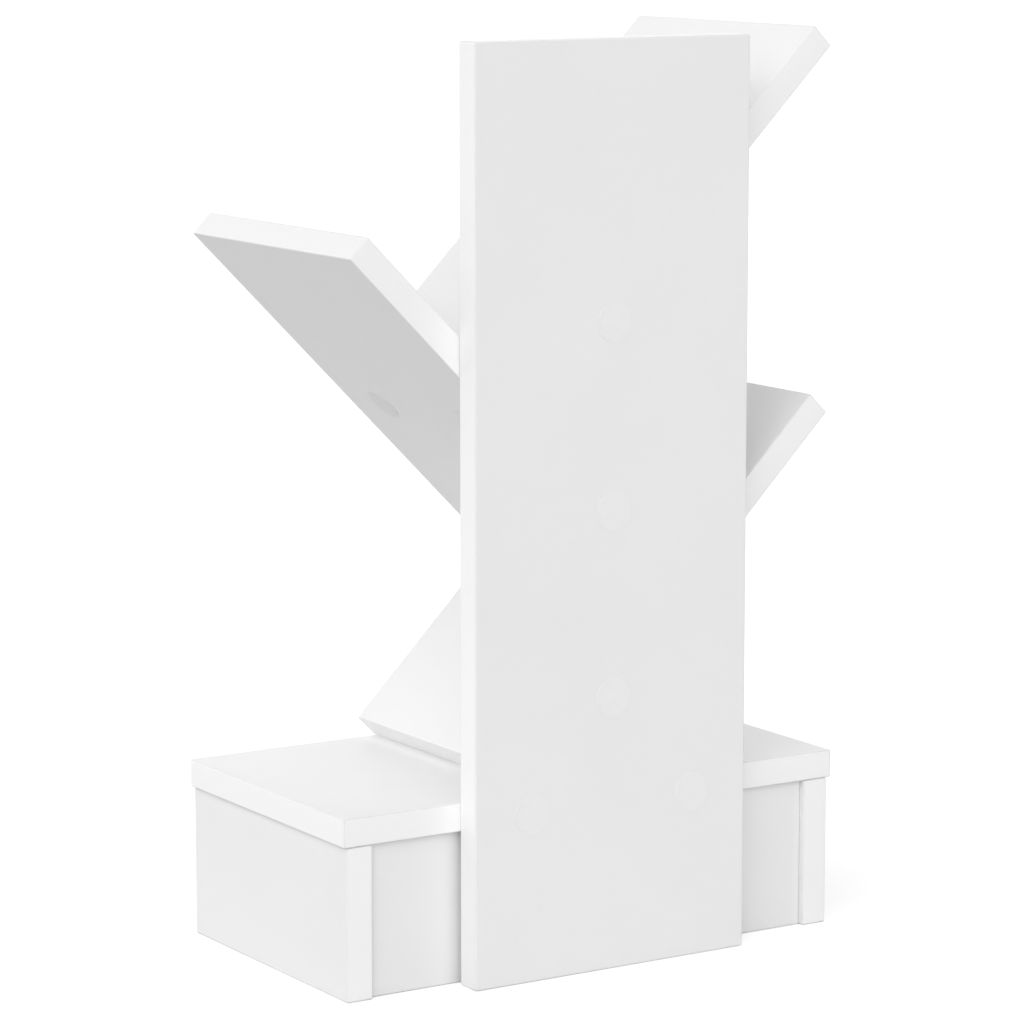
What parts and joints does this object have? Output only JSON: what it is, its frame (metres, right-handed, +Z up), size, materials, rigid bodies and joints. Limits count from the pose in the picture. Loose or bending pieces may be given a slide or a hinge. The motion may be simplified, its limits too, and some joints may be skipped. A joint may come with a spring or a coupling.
{
  "type": "tree shaped bookshelf",
  "caption": "Small desk bookshelf shaped like a tree: an upright trunk board, branch boards leaning at 45 degrees and a low base with a drawer, all in white coated board.",
  "frame": {"origin": "on the surface that the shelf stands on, under the middle of its bounding box", "axes": "+Z up, +X to the right and -Y to the front as the user sees it; the trunk is at +Y"},
  "size_m": [0.304, 0.1802, 0.4857],
  "materials": {
    "white_board": "satin white coated chipboard with white edging",
    "white_hardboard": "matt white lacquered hardboard",
    "white_cap": "satin stick-on film",
    "screw_steel": "zinc plated",
    "cast_zinc": "raw die cast zinc",
    "beech_dowel": "raw beech"
  },
  "bodies": {
    "shelf": {"trunk_panel": "white_board", "lower_branch": "white_board", "middle_branch": "white_board", "upper_branch": "white_board", "base_top": "white_board", "base_side_left": "white_board", "base_side_right": "white_board", "base_back_panel": "white_board", "base_bottom": "white_board", "lower_trunk_cap": "white_cap", "middle_trunk_cap": "white_cap", "upper_trunk_cap": "white_cap", "base_trunk_cap_left": "white_cap", "base_trunk_cap_right": "white_cap", "middle_foot_cap_front": "white_cap", "middle_foot_cap_back": "white_cap", "upper_foot_cap_front": "white_cap", "upper_foot_cap_back": "white_cap", "lower_trunk_screw": "screw_steel", "middle_trunk_screw": "screw_steel", "upper_trunk_screw": "screw_steel", "base_trunk_screw_left": "screw_steel", "base_trunk_screw_right": "screw_steel", "middle_foot_screw_front": "screw_steel", "middle_foot_screw_back": "screw_steel", "upper_foot_screw_front": "screw_steel", "upper_foot_screw_back": "screw_steel", "top_bolt_left_front": "screw_steel", "top_bolt_left_back": "screw_steel", "top_bolt_right_front": "screw_steel", "top_bolt_right_back": "screw_steel", "panel_bolt_left": "screw_steel", "panel_bolt_right": "screw_steel", "bottom_bolt_left": "screw_steel", "bottom_bolt_right": "screw_steel", "top_cam_left_front": "cast_zinc", "top_cam_left_back": "cast_zinc", "top_cam_right_front": "cast_zinc", "top_cam_right_back": "cast_zinc", "panel_cam_left": "cast_zinc", "panel_cam_right": "cast_zinc", "bottom_cam_left": "cast_zinc", "bottom_cam_right": "cast_zinc", "lower_trunk_dowel": "beech_dowel", "middle_trunk_dowel": "beech_dowel", "upper_trunk_dowel": "beech_dowel", "panel_dowel_left": "beech_dowel", "panel_dowel_right": "beech_dowel", "bottom_dowel_left": "beech_dowel", "bottom_dowel_right": "beech_dowel"},
    "drawer": {"drawer_front": "white_board", "drawer_side_left": "white_board", "drawer_side_right": "white_board", "drawer_back": "white_board", "drawer_bottom": "white_hardboard", "drawer_bolt_left": "screw_steel", "drawer_bolt_right": "screw_steel", "drawer_cam_left": "cast_zinc", "drawer_cam_right": "cast_zinc"}
  },
  "joints": [
    {"name": "drawer_slide", "type": "slide", "parent": "shelf", "child": "drawer", "axis": [0, -1, 0], "range_m": [0, 0.095]}
  ]
}
